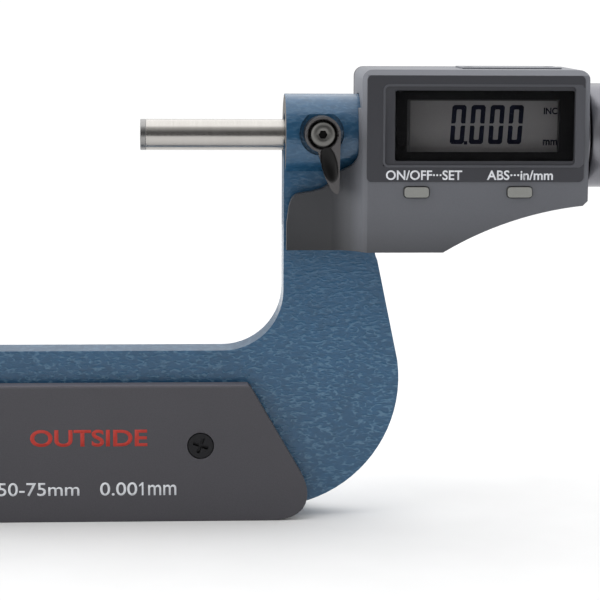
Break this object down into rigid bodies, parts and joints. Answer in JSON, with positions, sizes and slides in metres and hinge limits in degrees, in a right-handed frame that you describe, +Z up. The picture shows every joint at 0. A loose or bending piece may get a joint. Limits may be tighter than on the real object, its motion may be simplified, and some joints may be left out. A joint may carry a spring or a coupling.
{
  "type": "outside micrometer",
  "caption": "Digital outside micrometer: a U-shaped insulated frame with an anvil, a locking spindle turned by a thimble and ratchet, and a sealed display housing.",
  "frame": {"origin": "centre of the anvil's measuring face, on the spindle axis", "axes": "+X along the spindle from the anvil towards the ratchet, +Z up towards the display's top, -Y out of the display"},
  "size_m": [0.2246, 0.0255, 0.095],
  "materials": {
    "frame_paint": "hammered enamel, bare machined boss faces",
    "steel": "ground",
    "satin_chrome": "satin",
    "carbide": "lapped",
    "brass": "machined",
    "insulator_plastic": "fine moulded grain",
    "housing_plastic": "fine moulded grain",
    "panel_plastic": "fine grain",
    "black_plastic": "plain",
    "lever_plastic": "satin",
    "window_clear": "clear",
    "lcd": "satin",
    "button_plastic": "plain",
    "seal_rubber": "plain",
    "black_steel": "blackened",
    "board": "solder mask",
    "flex": "film"
  },
  "bodies": {
    "micrometer_body": {"frame": "frame_paint", "anvil": "steel", "anvil_tip": "carbide", "insulator_front": "insulator_plastic", "insulator_rear": "insulator_plastic", "insulator_screws": "black_steel", "guide_bush": "steel", "spindle_wiper": "seal_rubber", "lock_shoe": "brass", "display_housing": "housing_plastic", "rear_cover": "housing_plastic", "cover_gasket": "seal_rubber", "cover_screws": "steel", "frame_screws": "steel", "display_panel": "panel_plastic", "display_window": "window_clear", "lcd_holder": "black_plastic", "lcd_glass": "lcd", "zebra_strips": "seal_rubber", "main_board": "board", "dome_switches": "steel", "button_mat": "seal_rubber", "battery": "steel", "battery_tray": "black_plastic", "battery_contacts": "brass", "port_cover": "housing_plastic", "port_screws": "steel", "port_seal": "seal_rubber", "port_socket": "black_plastic", "stator_board": "board", "flex_cable": "flex", "rotor_spring": "steel", "barrel": "steel", "adjusting_nut": "steel", "graduated_sleeve": "satin_chrome", "barrel_seal": "seal_rubber", "end_ring": "satin_chrome"},
    "encoder_rotor": {"rotor_disc": "board", "rotor_bush": "brass", "rotor_key": "steel"},
    "spindle_and_thimble": {"spindle": "satin_chrome", "spindle_tip": "carbide", "thimble": "satin_chrome", "thimble_hub": "steel", "ratchet_seat": "steel", "ratchet_screw": "steel"},
    "ratchet_sleeve": {"ratchet_knob": "satin_chrome", "ratchet_cap": "steel", "ratchet_spring": "steel"},
    "ratchet_pawl": {"ratchet_plate": "steel"},
    "spindle_lock": {"lock_lever": "lever_plastic", "lock_stud": "steel", "lock_screw": "steel"},
    "power_button": {"button_power": "button_plastic"},
    "unit_button": {"button_unit": "button_plastic"},
    "battery_door": {"battery_cap": "black_plastic", "battery_cap_seal": "seal_rubber"}
  },
  "joints": [
    {"name": "spindle_turn", "type": "hinge", "parent": "micrometer_body", "child": "encoder_rotor", "pos_m": [0.1, 0, 0], "axis": [1, 0, 0], "range_deg": [0, 18000.5]},
    {"name": "spindle_travel", "type": "slide", "parent": "encoder_rotor", "child": "spindle_and_thimble", "axis": [1, 0, 0], "range_m": [0, 0.025]},
    {"name": "ratchet_turn", "type": "hinge", "parent": "spindle_and_thimble", "child": "ratchet_sleeve", "pos_m": [0.19, 0, 0], "axis": [1, 0, 0], "continuous": true},
    {"name": "ratchet_click", "type": "slide", "parent": "ratchet_sleeve", "child": "ratchet_pawl", "axis": [1, 0, 0], "range_m": [0, 0.0008], "stiffness_N_per_m": 600, "springref_m": -0.001, "deforming": ["ratchet_spring"]},
    {"name": "lock_turn", "type": "hinge", "parent": "micrometer_body", "child": "spindle_lock", "pos_m": [0.0874, -0.01, 0.0008], "axis": [0, 1, 0], "range_deg": [0, 55]},
    {"name": "power_press", "type": "slide", "parent": "micrometer_body", "child": "power_button", "axis": [0, 1, 0], "range_m": [0, 0.0006], "stiffness_N_per_m": 800, "springref_m": -0.0008},
    {"name": "unit_press", "type": "slide", "parent": "micrometer_body", "child": "unit_button", "axis": [0, 1, 0], "range_m": [0, 0.0006], "stiffness_N_per_m": 800, "springref_m": -0.0008},
    {"name": "battery_cap_turn", "type": "hinge", "parent": "micrometer_body", "child": "battery_door", "pos_m": [0.1053, 0.0115, -0.0146], "axis": [0, 1, 0], "range_deg": [0, 60]}
  ],
  "couplings": [
    {"joint": "spindle_turn", "follows": "spindle_travel", "rad_per_m": 12566}
  ]
}
